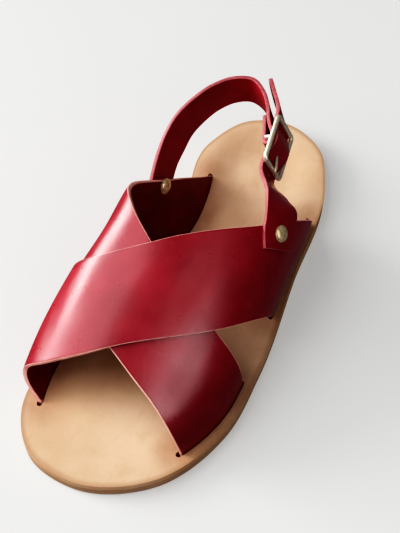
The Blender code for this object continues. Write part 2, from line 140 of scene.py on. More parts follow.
# Outline of the sole seen from above: x, y, round from the heel by the outer side
OUTLINE = np.array([
    (-1.5, 124.5),
    (21.0, 115.0),
    (34.8, 90.0),
    (42.0, 30.0),
    (48.5, -30.0),
    (47.0, -68.0),
    (28.5, -105.0),
    (-5.5, -122.8),
    (-33.0, -117.5),
    (-46.0, -101.0),
    (-50.0, -78.0),
    (-43.0, -33.0),
    (-27.5, 28.0),
    (-37.0, 92.0),
    (-23.5, 117.0),
])

# The last inside the straps. Each row is one section across the foot at the given y:
# y, medial slot x, medial wall x and z, ridge x and z, lateral shoulder x and z, lateral slot x
LAST = np.array([
    (-105, -35.0, -44, 24, -16, 40, 12.0, 29, 22.0),
    (-90, -40.0, -46.5, 28, -15, 44, 19.5, 34, 33.0),
    (-65, -43.0, -48.5, 36, -14, 53, 28.5, 39, 43.0),
    (-40, -38.0, -47, 45, -12, 62, 32.5, 46, 44.5),
    (-15, -32.0, -43, 54, -10, 71, 33.5, 52, 41.5),
    (10, -25.0, -42, 59, -8, 79, 34.0, 56, 39.0),
    (40, -22.0, -36, 52, -5, 86, 34.0, 58, 36.8),
    (70, -27.5, -32, 44, -2, 90, 32.0, 58, 32.8),
])
# Where the five guide points lie along a section, from the medial slot (0) to the lateral slot (1)
SECTION_KNOTS = np.array([0.0, 0.22, 0.5, 0.75, 1.0])
# Steps from which directions on the last are taken: share, y, and share along a crease
SHARE_STEP = 0.01
Y_STEP = 0.5
RUN_STEP = 0.02

# Edges of the straps on the last: share of the section, y of the front edge, y of the rear edge
OVER_STRAP = np.array([
    (0.00, -93.0, -44.0),
    (0.20, -88.5, -38.5),
    (0.35, -86.0, -34.7),
    (0.50, -75.0, -20.5),
    (0.65, -53.5, 3.5),
    (0.80, -28.0, 32.5),
    (1.00, 0.5, 63.5),
])
UNDER_STRAP = np.array([
    (0.00, 2.0, 69.5),
    (0.10, -20.0, 48.0),
    (0.20, -44.0, 18.5),
    (0.35, -61.0, -7.0),
    (0.50, -70.0, -24.0),
    (0.65, -80.5, -38.0),
    (0.80, -87.0, -43.4),
    (1.00, -88.5, -42.0),
])

# Soft creases: share and y on the last, turn from the strap's run in degrees, half length, half width, rise
OVER_CREASES = np.array([
    (0.30, -66.0, 86, 17.0, 4.5, -0.30),
    (0.36, -50.0, 80, 14.0, 5.0, 0.28),
    (0.47, -38.0, 60, 12.0, 4.0, -0.22),
    (0.62, -30.0, 95, 18.0, 6.0, -0.25),
    (0.70, -8.0, 82, 15.0, 5.0, 0.22),
    (0.86, 18.0, 88, 20.0, 5.0, -0.30),
    (0.08, -68.0, 90, 16.0, 3.5, -0.25),
])
UNDER_CREASES = np.array([
    (0.72, -62.0, 88, 15.0, 4.5, -0.28),
    (0.82, -66.0, 90, 30.0, 11.0, 1.00),
    (0.16, 6.0, 84, 15.0, 5.0, -0.28),
    (0.24, -8.0, 92, 14.0, 4.5, 0.25),
    (0.06, 36.0, 90, 16.0, 4.0, -0.22),
])

# Rivets on the last: share of the section, y
RIVET_MEDIAL = (0.135, 31.0)
RIVET_LATERAL = (0.745, 15.0)
# Tab of the slingback on the last: share of the section, y, width
HEEL_TAB = ((0.09, 23.0, 17.0), (*RIVET_MEDIAL, 19.0))

# Buckle: middle of its frame, the way to the toe along the strap, and the way it faces
BUCKLE_CENTRE = np.array((14.1, 65.2, 58.3))
BUCKLE_FORWARD = np.array((0.15, -0.975, -0.155))
BUCKLE_FACING = np.array((0.92, 0.08, 0.37))

# Slingback from its rivet round the heel: x, y, z of its middle, heading and tilt of its outer face, width
HEEL_LOOP = np.array([
    (-38.6, 42, 46.5, 183, -23, 19.0),
    (-38.3, 50, 52.0, 179, -25, 18.5),
    (-37.5, 60, 56.0, 170, -20, 18.0),
    (-34.0, 71, 59.0, 153, -12, 18.0),
    (-28.5, 82, 61.0, 130, -5, 18.0),
    (-21.0, 90, 62.0, 106, 0, 18.0),
    (-13.0, 93, 62.3, 84, 4, 18.0),
    (-5.5, 90, 61.6, 50, 9, 17.5),
    (0.5, 84.5, 60.0, 38, 14, 16.5),
])
# Tab of the fastening strap on the last: share and y of its upper edge, of its lower edge, extra height
FASTENING_TAB = np.array([
    (0.725, 3.0, 0.815, 15.0, 0.0),
    (0.700, 10.0, 0.795, 19.0, 0.0),
    (0.688, 15.5, 0.768, 29.5, 0.2),
])
# Fastening strap from its tab to the buckle: x, y, z of its upper edge, x, y, z of its lower edge
FASTENING_RUN = np.array([
    (22.5, 29.5, 67.5, 30.5, 38.0, 54.0),
])
# Free tail of the fastening strap behind the buckle, in the columns of the slingback
FASTENING_TAIL = np.array([
    (7.4, 83.4, 60.9, 28, 16, 15.5),
    (-0.4, 93.6, 62.3, 34, 11, 13.5),
    (-6.5, 102, 63.0, 36, 9, 6.0),
])

# Camera and light, in metres
CAMERA_PLACE = Vector((0.1281, -0.2635, 0.4542))
CAMERA_AIM = Vector((-0.001, 0.004, 0.022))
CAMERA_LENS = 69.0
CAMERA_NEAR = 0.01
FLOOR_SIZE = 60.0
LIGHT_AIM = Vector((0.0, 0.0, 0.02))
DAYLIGHT = (1.0, 0.985, 0.96)
WHITE = (1.0, 1.0, 1.0)
# Name, place, width and height, watts, colour, spread in degrees, seen by matt surfaces, seen by glossy ones
LIGHTS = (
    ("window", (-3.12, 0.47, 1.09), (2.0, 1.25), 18.5, DAYLIGHT, 60, False, True),
    ("daylight", (-3.0, -0.75, 1.15), (2.0, 1.25), 15.0, DAYLIGHT, 60, True, False),
    ("soft box", (-0.75, -0.4, 1.1), (1.1, 1.1), 13.5, WHITE, 180, True, True),
    ("sheen", (0.90, -0.50, 0.96), (0.45, 1.0), 8.6, WHITE, 180, False, True),
    ("fill", (0.3, -0.7, 1.2), (2.4, 2.4), 9.2, WHITE, 180, True, False),
)
SKY_COLOUR = (0.96, 0.98, 1.0, 1.0)
SKY_STRENGTH = 0.14
# Number of the film curve for all colours together, and the points added to it
COMBINED_CURVE = 3
FILM_CURVE = ((0.03, 0.003), (0.06, 0.015), (0.12, 0.058), (0.30, 0.275), (0.60, 0.65))


# Curves and the last


def smooth(stations, values, at):
    """Cubic curve through rows of values, at many places; values may also hold one table for each place."""
    slopes = np.gradient(values, stations, axis=-2, edge_order=2)
    left = np.clip(np.searchsorted(stations, at) - 1, 0, len(stations) - 2)
    span = (stations[left + 1] - stations[left])[:, None]
    t = (at - stations[left])[:, None] / span
    here = (np.arange(len(at)), left) if values.ndim == 3 else (left,)
    there = (*here[:-1], left + 1)
    start = (1 + 2 * t) * (1 - t) ** 2 * values[here] + t * (1 - t) ** 2 * span * slopes[here]
    end = t * t * (3 - 2 * t) * values[there] - t * t * (1 - t) * span * slopes[there]
    return start + end


def fade(low, high, value):
    """0 below low, 1 above high and a soft step between."""
    t = np.clip((value - low) / (high - low), 0.0, 1.0)
    return t * t * (3 - 2 * t)


def unit(vectors):
    return vectors / np.linalg.norm(vectors, axis=-1, keepdims=True)


def distances_along(points):
    """Distance of each point from the first, along the line through all of them."""
    steps = np.linalg.norm(np.diff(points, axis=0), axis=1)
    return np.concatenate(((0.0,), np.cumsum(steps)))


def last_points(share, y):
    """Points on the last at shares of the sections that lie at y."""
    section = smooth(LAST[:, 0], LAST[:, 1:], y)
    slot = np.full_like(y, SLOT_TOP)
    guides = np.stack((
        np.stack((section[:, 0], slot), axis=1),
        section[:, 1:3],
        section[:, 3:5],
        section[:, 5:7],
        np.stack((section[:, 7], slot), axis=1),
    ), axis=1)
    x, z = smooth(SECTION_KNOTS, guides, share).T
    return np.stack((x, y, z), axis=1)


def last_normals(share, y):
    """Outward directions on the last."""
    before = np.maximum(share - SHARE_STEP, 0.0)
    after = np.minimum(share + SHARE_STEP, 1.0)
    across = last_points(after, y) - last_points(before, y)
    along = last_points(share, y + Y_STEP) - last_points(share, y - Y_STEP)
    return unit(np.cross(across, along))


def level(vectors):
    """The part of directions that lies flat."""
    return unit(vectors * np.array((1.0, 1.0, 0.0)))


def on_last(share, y, height):
    """One point at a height over the last."""
    share = np.array((share,), dtype=float)
    y = np.array((y,), dtype=float)
    return (last_points(share, y) + last_normals(share, y) * height)[0]


def normal_at(share, y):
    return last_normals(np.array((share,), dtype=float), np.array((y,), dtype=float))[0]


def crease_rise(creases, points):
    """How far soft creases lift or sink points of a strap, each a bell-shaped ridge or trough."""
    rise = np.zeros(len(points))
    for share, y, turn, half_length, half_width, height in creases:
        normal = normal_at(share, y)
        run = unit(on_last(share + RUN_STEP, y, 0.0) - on_last(share - RUN_STEP, y, 0.0))
        side = np.cross(normal, run)
        turn = math.radians(turn)
        ridge = run * math.cos(turn) + side * math.sin(turn)
        offset = points - on_last(share, y, 0.0)
        lengthwise = offset @ ridge / half_length
        widthwise = offset @ np.cross(normal, ridge) / half_width
        rise += height * np.exp(-lengthwise ** 2 - widthwise ** 2)
    return rise


# Rows of the straps, each as lower edge, upper edge and cup


def facing(heading, tilt):
    """Direction from its heading in the XY plane and its tilt up, in degrees."""
    heading = math.radians(heading)
    tilt = math.radians(tilt)
    flat = math.cos(tilt)
    return np.array((flat * math.cos(heading), flat * math.sin(heading), math.sin(tilt)))


def table_rows(table):
    """Rows of a strap table as middle, outer face and width."""
    return np.array([np.concatenate((row[:3], facing(row[3], row[4]), row[5:])) for row in table])


def wall_row(share, y, height, width):
    """Middle, outer face and width of a strap that lies flat on the outside of the upper."""
    return np.concatenate((on_last(share, y, height), normal_at(share, y), (width,)))


def edge_rows(rows):
    """Rows of middle, outer face and width, turned into lower edge, upper edge and cup."""
    forward = np.gradient(rows[:, :3], axis=0)
    result = []
    for row, ahead in zip(rows, forward):
        half = unit(np.cross(row[3:6], ahead)) * row[6] / 2
        result.append(np.concatenate((row[:3] - half, row[:3] + half, (0.0,))))
    return result


def tab_row(upper, lower, height):
    """Row across the wide tab, cupped to follow the wall: share and y of its upper and lower edge."""
    top = on_last(*upper, height)
    bottom = on_last(*lower, height)
    middle = on_last((upper[0] + lower[0]) / 2, (upper[1] + lower[1]) / 2, height)
    cup = np.linalg.norm(middle - (top + bottom) / 2)
    return np.concatenate((bottom, top, (cup,)))


BUCKLE_ALONG = unit(BUCKLE_FORWARD)
BUCKLE_ACROSS = unit(np.cross(BUCKLE_FACING, BUCKLE_ALONG))
BUCKLE_OUT = np.cross(BUCKLE_ALONG, BUCKLE_ACROSS)
BAR_PLACE = BUCKLE_LENGTH / 2 - BUCKLE_WIRE
RAIL_PLACE = BUCKLE_WIDTH / 2 - BUCKLE_WIRE
FOLD_RADIUS = BUCKLE_WIRE + BAND_GAP + BAND_THICKNESS / 2
BAND_UNDER_BAR = -FOLD_RADIUS
BAND_LAYER = BAND_THICKNESS + 2 * BAND_GAP
BAND_HUMP = FOLD_RADIUS - BAR_DROP + BAND_LAYER - BAND_UNDER_BAR
BAND_IN_BUCKLE = 16.5
RETURN_LENGTH = 15.0
# How far the slingback sags inwards behind the buckle
HEEL_SAG = 2.6
# Strap rows inside the buckle, as shares of the way from the centre bar to the front bar
HEEL_SHARES = (-1.1, -0.66, -0.33)
FASTENING_SHARES = (1.1, 0.75, 0.4, 0.0, -0.4, -0.75, -1.1)
# Fold of the slingback round the centre bar, in degrees, and its way back as shares of its length
FOLD_DEGREES = (90, 45, 0, -45, -90)
RETURN_SHARES = (0.5, 1.0)


def at_buckle(along, across, out):
    """Point in the frame of the buckle: towards the toe, towards the sole and outwards."""
    return BUCKLE_CENTRE + BUCKLE_ALONG * along + BUCKLE_ACROSS * across + BUCKLE_OUT * out


def buckle_row(along, out, side):
    """Strap row inside the buckle; side is 1 for a strap that runs to the heel and -1 for one to the toe."""
    half = side * BAND_IN_BUCKLE / 2
    return np.concatenate((at_buckle(along, half, out), at_buckle(along, -half, out), (0.0,)))


def hump(along):
    """Height of the fastening strap's middle, from one end bar over the centre bar to the other."""
    return BAND_UNDER_BAR + BAND_HUMP * math.cos(math.pi * along / (2 * BAR_PLACE)) ** 2


def heel_layer(along):
    """Height of the slingback's middle where it lies under the fastening strap."""
    return hump(along) - BAND_LAYER - HEEL_SAG * (along / (BAR_PLACE * HEEL_SHARES[0])) ** 2


def return_layer(along):
    """Height of the slingback's middle where it comes back from its fold."""
    fold_bottom = -FOLD_RADIUS - BAR_DROP
    return_end = BAND_UNDER_BAR - 2 * BAND_LAYER - HEEL_SAG
    return fold_bottom - (return_end - fold_bottom) * along / RETURN_LENGTH


def heel_rows():
    """Slingback: tab on the inner wall, loop round the heel, under the end bar and round the centre bar."""
    height = BAND_GAP + BAND_THICKNESS / 2
    tab = [wall_row(share, y, height, width) for share, y, width in HEEL_TAB]
    rows = edge_rows(np.concatenate((tab, table_rows(HEEL_LOOP))))
    for part in HEEL_SHARES:
        rows.append(buckle_row(BAR_PLACE * part, heel_layer(BAR_PLACE * part), -1))
    for degrees in FOLD_DEGREES:
        angle = math.radians(degrees)
        rows.append(buckle_row(FOLD_RADIUS * math.cos(angle), FOLD_RADIUS * math.sin(angle) - BAR_DROP, -1))
    for part in RETURN_SHARES:
        rows.append(buckle_row(-RETURN_LENGTH * part, return_layer(-RETURN_LENGTH * part), -1))
    return np.array(rows)


def fastening_rows():
    """Fastening strap: wide tab on the outer wall, through the buckle, and its free tail."""
    height = STRAP_HEIGHT + STRAP_THICKNESS / 2 + TAB_GAP + BAND_THICKNESS / 2
    rows = [tab_row(row[:2], row[2:4], height + row[4]) for row in FASTENING_TAB]
    rows += [np.concatenate((row[3:], row[:3], (0.0,))) for row in FASTENING_RUN]
    for part in FASTENING_SHARES:
        rows.append(buckle_row(BAR_PLACE * part, hump(BAR_PLACE * part), 1))
    rows += edge_rows(table_rows(FASTENING_TAIL))
    return np.array(rows)


# Sheets of leather


def strap_points(edges, creases, height):
    """Grid of points on the middle of a strap over the foot, with end rows down in the slots."""
    shares = np.linspace(0.0, 1.0, STRAP_ROWS)
    front_rear = smooth(edges[:, 0], edges[:, 1:], shares)
    across = np.linspace(0.0, 1.0, STRAP_COLUMNS)
    y = (front_rear[:, :1] + (front_rear[:, 1:] - front_rear[:, :1]) * across).ravel()
    share = np.repeat(shares, STRAP_COLUMNS)
    points = last_points(share, y)
    normals = last_normals(share, y)
    lean = np.clip(1 - np.minimum(share, 1 - share) / SLOT_LEAN, 0.0, 1.0)[:, None]
    rise = height + crease_rise(creases, points) * (1 - lean[:, 0])
    points += unit(normals + level(normals) * lean) * rise[:, None]
    points = points.reshape(STRAP_ROWS, STRAP_COLUMNS, 3)
    normals = normals.reshape(STRAP_ROWS, STRAP_COLUMNS, 3)
    ends = []
    for row in (0, -1):
        on_slot = last_points(np.full(STRAP_COLUMNS, shares[row]), y.reshape(STRAP_ROWS, -1)[row])
        end = on_slot + level(normals[row]) * height
        drops = np.linspace(1.0, 0.0, STRAP_END_ROWS, endpoint=False)[:, None]
        depth = points[row][:, 2] - STRAP_END
        lowered = np.repeat(end[None], STRAP_END_ROWS, axis=0)
        lowered[:, :, 2] = points[row][:, 2] - depth * drops
        ends.append(lowered)
    return np.concatenate((ends[0], points, ends[1][::-1]))


def band_points(rows, segments):
    """Grid of points on the middle of a narrow strap, from its lower to its upper edge."""
    stations = distances_along((rows[:, :3] + rows[:, 3:6]) / 2)
    fine = smooth(stations, rows, np.linspace(0.0, stations[-1], segments + 1))
    lower, upper, cup = fine[:, None, :3], fine[:, None, 3:6], fine[:, None, 6:]
    across = upper - lower
    ahead = np.gradient(((lower + upper) / 2)[:, 0], axis=0)[:, None]
    outward = unit(np.cross(ahead, across))
    v = np.linspace(0.0, 1.0, BAND_COLUMNS + 1)[None, :, None]
    return lower + across * v + outward * cup * (1 - (2 * v - 1) ** 2)


def sheet(name, points):
    """Grid through the points; its UV map holds the run and the distance to the long edge, in metres."""
    rows, columns = points.shape[:2]
    runs = np.cumsum(np.linalg.norm(np.diff(points, axis=0, prepend=points[:1]), axis=2), axis=0)
    widths = np.cumsum(np.linalg.norm(np.diff(points, axis=1, prepend=points[:, :1]), axis=2), axis=1)
    margins = np.minimum(widths, widths[:, -1:] - widths)
    bm = bmesh.new()
    bmesh.ops.create_grid(bm, x_segments=rows - 1, y_segments=columns - 1, size=0.5)
    flat = bm.loops.layers.uv.new("flat")
    cells = {}
    for vertex in bm.verts:
        cell = (round((vertex.co.x + 0.5) * (rows - 1)), round((vertex.co.y + 0.5) * (columns - 1)))
        cells[vertex] = cell
        vertex.co = Vector(points[cell]) * MM
    for face in bm.faces:
        for loop in face.loops:
            cell = cells[loop.vert]
            loop[flat].uv = (runs[cell] * MM, margins[cell] * MM)
    return new_object(name, mesh_from(bm, name))


def mesh_from(bm, name):
    mesh = bpy.data.meshes.new(name)
    bm.to_mesh(mesh)
    bm.free()
    return mesh


def new_object(name, data):
    piece = bpy.data.objects.new(name, data)
    bpy.context.scene.collection.objects.link(piece)
    return piece


def thicken(piece, thickness):
    """Leather thickness, with the second material inside and the third on the cut edge."""
    solidify = piece.modifiers.new("Leather thickness", "SOLIDIFY")
    solidify.thickness = thickness * MM
    solidify.offset = 0.0
    solidify.use_even_offset = True
    solidify.material_offset = INNER_FINISH
    solidify.material_offset_rim = EDGE_FINISH


def round_edges(piece, width, segments, finish=-1):
    """Rounded edges, with the finish of the neighbouring faces or of the given slot."""
    bevel = piece.modifiers.new("Rounded edge", "BEVEL")
    bevel.material = finish
    bevel.width = width * MM
    bevel.segments = segments
    bevel.limit_method = "ANGLE"
    bevel.angle_limit = math.radians(EDGE_DEGREES)
    bevel.use_clamp_overlap = True


def combine(piece, other, operation):
    """Modifier that cuts another object out of a piece or joins it on."""
    boolean = piece.modifiers.new(f"{operation} {other.name}", "BOOLEAN")
    boolean.operation = operation
    boolean.object = other
    boolean.solver = "EXACT"


def apply_modifiers(piece):
    """Replaces a piece's mesh by what its modifiers make of it."""
    graph = bpy.context.evaluated_depsgraph_get()
    mesh = bpy.data.meshes.new_from_object(piece.evaluated_get(graph))
    piece.modifiers.clear()
    piece.data = mesh


def hand_in(piece, nodes):
    """Smooth shading, then the piece rides on the shoe and stands for its solids."""
    piece.data.shade_smooth()
    piece.data.set_sharp_from_angle(angle=math.radians(SHARP_DEGREES))
    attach(piece, BODY)
    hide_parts(*nodes)


# Node trees

# Sockets of a Mix node that mixes colours
MIX_FACTOR = 0
MIX_FIRST = 6
MIX_SECOND = 7
MIX_RESULT = 2


class Socket:
    """An output socket, with arithmetic that adds Math nodes."""

    def __init__(self, maker, socket):
        self.maker = maker
        self.socket = socket

    def math(self, operation, first, second):
        return self.maker.node("ShaderNodeMath", {"operation": operation}, {0: first, 1: second})

    def __add__(self, other):
        return self.math("ADD", self, other)

    def __radd__(self, other):
        return self.math("ADD", other, self)

    def __sub__(self, other):
        return self.math("SUBTRACT", self, other)

    def __rsub__(self, other):
        return self.math("SUBTRACT", other, self)

    def __mul__(self, other):
        return self.math("MULTIPLY", self, other)


class Maker:
    """Adds nodes to one tree."""

    def __init__(self, tree):
        self.tree = tree

    def node(self, kind, settings=None, sockets=None, out=0):
        """New node of a kind, with its settings first and then values or links on its sockets."""
        node = self.tree.nodes.new(kind)
        for key, value in (settings or {}).items():
            setattr(node, key, value)
        for key, value in (sockets or {}).items():
            if isinstance(value, Socket):
                self.tree.links.new(value.socket, node.inputs[key])
            else:
                node.inputs[key].default_value = value
        return Socket(self, node.outputs[out]) if len(node.outputs) else None


class Finish(Maker):
    """A procedural material under construction."""

    def __init__(self, name):
        self.material = bpy.data.materials.new(name)
        self.material.use_nodes = True
        super().__init__(self.material.node_tree)
        self.tree.nodes.clear()
        self.place = self.node("ShaderNodeTexCoord", out="Object")

    def noise(self, scale, detail=3.0, roughness=0.55, place=None):
        """Cloudy value round 0.5; the scale counts features in a metre."""
        sockets = {"Vector": place or self.place, "Scale": scale, "Detail": detail, "Roughness": roughness}
        return self.node("ShaderNodeTexNoise", {"normalize": True}, sockets)

    def cells(self, scale):
        """Distance inside small cells like those of leather grain."""
        sockets = {"Vector": self.place, "Scale": scale}
        return self.node("ShaderNodeTexVoronoi", {"feature": "DISTANCE_TO_EDGE"}, sockets, "Distance")

    def stretched(self, along, across, up):
        """Object coordinates scaled apart, for fibres and strata."""
        return self.node("ShaderNodeMapping", None, {"Vector": self.place, "Scale": (along, across, up)})

    def step(self, value, low, high):
        """0 below low, 1 above high and a soft step between."""
        settings = {"interpolation_type": "SMOOTHSTEP"}
        return self.node("ShaderNodeMapRange", settings, {"Value": value, "From Min": low, "From Max": high})

    def blend(self, mask, first, second):
        """Colour that goes from the first to the second with the mask."""
        colours = {MIX_FACTOR: mask, MIX_FIRST: first, MIX_SECOND: second}
        for key in (MIX_FIRST, MIX_SECOND):
            if not isinstance(colours[key], Socket):
                colours[key] = (*colours[key], 1.0)
        return self.node("ShaderNodeMix", {"data_type": "RGBA"}, colours, MIX_RESULT)

    def margin(self):
        """Distance from the long edge of a strap, in metres."""
        uv = self.node("ShaderNodeUVMap", {"uv_map": "flat"})
        return self.node("ShaderNodeSeparateXYZ", None, {0: uv}, "Y")

    def height(self):
        """Height over the floor, in metres."""
        return self.node("ShaderNodeSeparateXYZ", None, {0: self.place}, "Z")

    def attribute(self, name):
        return self.node("ShaderNodeAttribute", {"attribute_name": name}, out="Fac")

    def bump(self, height, strength, depth):
        return self.node("ShaderNodeBump", None, {"Strength": strength, "Distance": depth, "Height": height})

    def surface(self, colour, roughness, normal=None, **constants):
        """Principled surface; constants name further sockets with underscores for spaces."""
        sockets = {"Base Color": colour, "Roughness": roughness}
        if normal is not None:
            sockets["Normal"] = normal
        for key, value in constants.items():
            sockets[key.replace("_", " ")] = value
        shader = self.node("ShaderNodeBsdfPrincipled", None, sockets)
        self.node("ShaderNodeOutputMaterial", None, {"Surface": shader})
        return self.material


# Finishes


def crimson_grain():
    """Smooth dyed leather: cloudy colour, painted shade on the low walls, darker margins, fine pores and an
    even gloss.
    """
    f = Finish("crimson grain side")
    margin = f.margin()
    cloud = f.step(f.noise(34.0, 4.0), 0.32, 0.68)
    mottle = f.noise(420.0, 3.0)
    tone = f.blend(cloud, (0.258, 0.0185, 0.0315), (0.338, 0.028, 0.045))
    tone = f.blend(f.step(mottle, 0.55, 0.80) * 0.35, tone, (0.405, 0.039, 0.055))
    # Painted shade: the leather darkens below about 46 mm over the floor, where the walls turn down to the
    # slots.
    tone = f.blend((1.0 - f.step(f.height(), 0.012, 0.046)) * 0.6, tone, (0.138, 0.009, 0.014))
    tone = f.blend((1.0 - f.step(margin, 0.0002, 0.0016)) * 0.45, tone, (0.19, 0.0075, 0.014))
    pores = f.step(f.cells(1250.0), 0.0, 0.22)
    wrinkle = f.noise(230.0, 4.0, 0.6)
    height = pores * 0.25 + f.noise(2600.0, 2.0) * 0.25 + wrinkle * 0.6
    rough = 0.23 + f.noise(90.0, 3.0) * 0.12
    return f.surface(tone, rough, f.bump(height, 0.17, 0.00022), Specular_IOR_Level=0.45)


def crimson_flesh(name, low, high):
    """Inner side of a strap: the same dye with short fibres and little gloss."""
    f = Finish(name)
    cloud = f.step(f.noise(52.0, 4.0), 0.3, 0.7)
    fibres = f.noise(1900.0, 4.0, 0.7)
    tone = f.blend(cloud, low, high)
    tone = f.blend(f.step(fibres, 0.5, 0.75) * 0.35, tone, (0.33, 0.028, 0.038))
    return f.surface(tone, 0.42 + fibres * 0.2, f.bump(fibres + f.noise(320.0) * 0.7, 0.3, 0.00025))


def cut_edge(name, low, high, blot):
    """Cut edge of leather, with fine layers of fibre and blots of dye."""
    f = Finish(name)
    layers = f.noise(1.0, 4.0, 0.65, f.stretched(700.0, 700.0, 2600.0))
    blotch = f.step(f.noise(160.0, 3.0), 0.35, 0.7)
    tone = f.blend(f.step(layers, 0.3, 0.7), low, high)
    tone = f.blend(blotch * 0.35, tone, blot)
    return f.surface(tone, 0.45 + layers * 0.2, f.bump(layers, 0.4, 0.0003))


def tan_footbed():
    """Natural tanned leather: pale, cloudy, faintly pored, darker at the rim, and darkened round the slots by
    dye rub and painted shade.
    """
    f = Finish("natural tan leather")
    cloud = f.step(f.noise(21.0, 5.0, 0.6), 0.3, 0.7)
    stain = f.step(f.noise(64.0, 4.0, 0.65), 0.52, 0.78)
    fleck = f.step(f.noise(900.0, 2.0), 0.62, 0.78)
    hair_lines = f.noise(1.0, 3.0, 0.6, f.stretched(500.0, 46.0, 500.0))
    tone = f.blend(cloud, (0.66, 0.43, 0.28), (0.78, 0.55, 0.385))
    tone = f.blend(stain * 0.35, tone, (0.56, 0.33, 0.18))
    tone = f.blend(f.step(hair_lines, 0.55, 0.75) * 0.18, tone, (0.5, 0.29, 0.15))
    tone = f.blend(fleck * 0.22, tone, (0.45, 0.26, 0.14))
    # Dye rub and painted shade: the footbed darkens within about 17 mm of the slots, where the straps shade
    # it.
    slot_rub_and_shade = (1.0 - f.step(f.attribute("slot"), 0.001, 0.017)) * (0.3 + f.noise(120.0, 4.0) * 0.3)
    tone = f.blend(slot_rub_and_shade, tone, (0.29, 0.12, 0.07))
    tone = f.blend((1.0 - f.step(f.attribute("rim"), 0.0, 0.0038)) * 0.5, tone, (0.33, 0.17, 0.085))
    pores = f.step(f.cells(1050.0), 0.0, 0.2)
    height = pores * 0.4 + f.noise(2400.0, 2.0) * 0.3 + hair_lines * 0.35 + f.noise(150.0) * 0.5
    rough = 0.48 + f.noise(75.0) * 0.16 - stain * 0.06
    return f.surface(tone, rough, f.bump(height, 0.2, 0.00022), Specular_IOR_Level=0.2)


def brown_sole():
    """Brown sole with thin layers at its edge and a fine pebbled underside."""
    f = Finish("brown sole")
    layers = f.noise(1.0, 3.0, 0.6, f.stretched(60.0, 60.0, 1500.0))
    dust = f.step(f.noise(240.0, 4.0, 0.7), 0.55, 0.8)
    tone = f.blend(f.step(layers, 0.3, 0.7), (0.33, 0.195, 0.115), (0.45, 0.28, 0.175))
    tone = f.blend(dust * 0.3, tone, (0.24, 0.135, 0.075))
    pebble = f.step(f.cells(620.0), 0.0, 0.3)
    height = layers * 0.6 + pebble * 0.5
    return f.surface(tone, 0.55 + layers * 0.2, f.bump(height, 0.3, 0.0003))


def worn_nickel():
    """Pale plated wire with fine scratches and duller patches."""
    f = Finish("worn nickel")
    scratch = f.noise(1.0, 4.0, 0.7, f.stretched(900.0, 90.0, 900.0))
    patch = f.step(f.noise(260.0, 4.0, 0.6), 0.45, 0.75)
    tone = f.blend(patch, (0.76, 0.69, 0.56), (0.52, 0.43, 0.31))
    rough = 0.28 + scratch * 0.16 + patch * 0.16
    return f.surface(tone, rough, f.bump(scratch, 0.12, 0.0001), Metallic=0.6)


def antique_brass():
    """Brown-tinted brass with darker patches and fine scratches."""
    f = Finish("antique brass")
    patch = f.step(f.noise(520.0, 4.0, 0.65), 0.38, 0.68)
    scratch = f.noise(2200.0, 3.0, 0.7)
    tone = f.blend(patch, (0.78, 0.66, 0.47), (0.44, 0.32, 0.18))
    rough = 0.34 + patch * 0.2 + scratch * 0.1
    return f.surface(tone, rough, f.bump(scratch + patch * 0.6, 0.16, 0.00015), Metallic=0.6)


def pale_floor():
    f = Finish("pale floor")
    tone = f.blend(f.noise(3.0, 3.0), (0.46, 0.463, 0.458), (0.5, 0.5, 0.497))
    glow = (1.0, 1.0, 0.985, 1.0)
    return f.surface(tone, 0.62, Specular_IOR_Level=0.0, Emission_Color=glow, Emission_Strength=0.27)


def stitch_thread():
    f = Finish("dark red thread")
    twist = f.noise(3200.0, 2.0)
    tone = f.blend(twist, (0.13, 0.012, 0.018), (0.24, 0.03, 0.036))
    return f.surface(tone, 0.6, f.bump(twist, 0.3, 0.0002))


# What repeats: shapes set on points by geometry nodes


def points_object(name, places, headings):
    """Loose points with a heading each, for shapes to be set on."""
    bm = bmesh.new()
    for place in places:
        bm.verts.new(Vector(place) * MM)
    mesh = mesh_from(bm, name)
    heading = mesh.attributes.new("heading", "FLOAT_VECTOR", "POINT")
    for value, direction in zip(heading.data, headings):
        value.vector = direction
    return new_object(name, mesh)


def new_tree(name, sizes):
    """Starts a geometry tree with points, named sizes and a material: its maker, and its inputs by name."""
    tree = bpy.data.node_groups.new(name, "GeometryNodeTree")
    kinds = {"Points": "Geometry", **dict.fromkeys(sizes, "Float"), "Material": "Material"}
    for label, kind in kinds.items():
        tree.interface.new_socket(label, in_out="INPUT", socket_type=f"NodeSocket{kind}")
    tree.interface.new_socket("Result", in_out="OUTPUT", socket_type="NodeSocketGeometry")
    maker = Maker(tree)
    first = maker.node("NodeGroupInput")
    entry = {socket.name: Socket(maker, socket) for socket in first.socket.node.outputs if socket.name}
    return maker, entry


def set_on_points(maker, entry, shape, axis):
    """Ends a tree: the shape on every point along its heading, realized and given its material."""
    vector = {"data_type": "FLOAT_VECTOR"}
    heading = maker.node("GeometryNodeInputNamedAttribute", vector, {"Name": "heading"})
    turn = maker.node("FunctionNodeAlignRotationToVector", {"axis": axis}, {"Vector": heading})
    sockets = {"Points": entry["Points"], "Instance": shape, "Rotation": turn}
    placed = maker.node("GeometryNodeInstanceOnPoints", None, sockets)
    real = maker.node("GeometryNodeRealizeInstances", None, {0: placed})
    finished = maker.node("GeometryNodeSetMaterial", None, {"Geometry": real, "Material": entry["Material"]})
    maker.node("NodeGroupOutput", None, {"Result": finished})
    return maker.tree


def punch_tree():
    """Round punches: straight pins that cut holes."""
    maker, entry = new_tree("round punches", ("Radius", "Length"))
    sockets = {"Vertices": PUNCH_SIDES, "Radius": entry["Radius"], "Depth": entry["Length"]}
    pin = maker.node("GeometryNodeMeshCylinder", None, sockets)
    return set_on_points(maker, entry, pin, "Z")


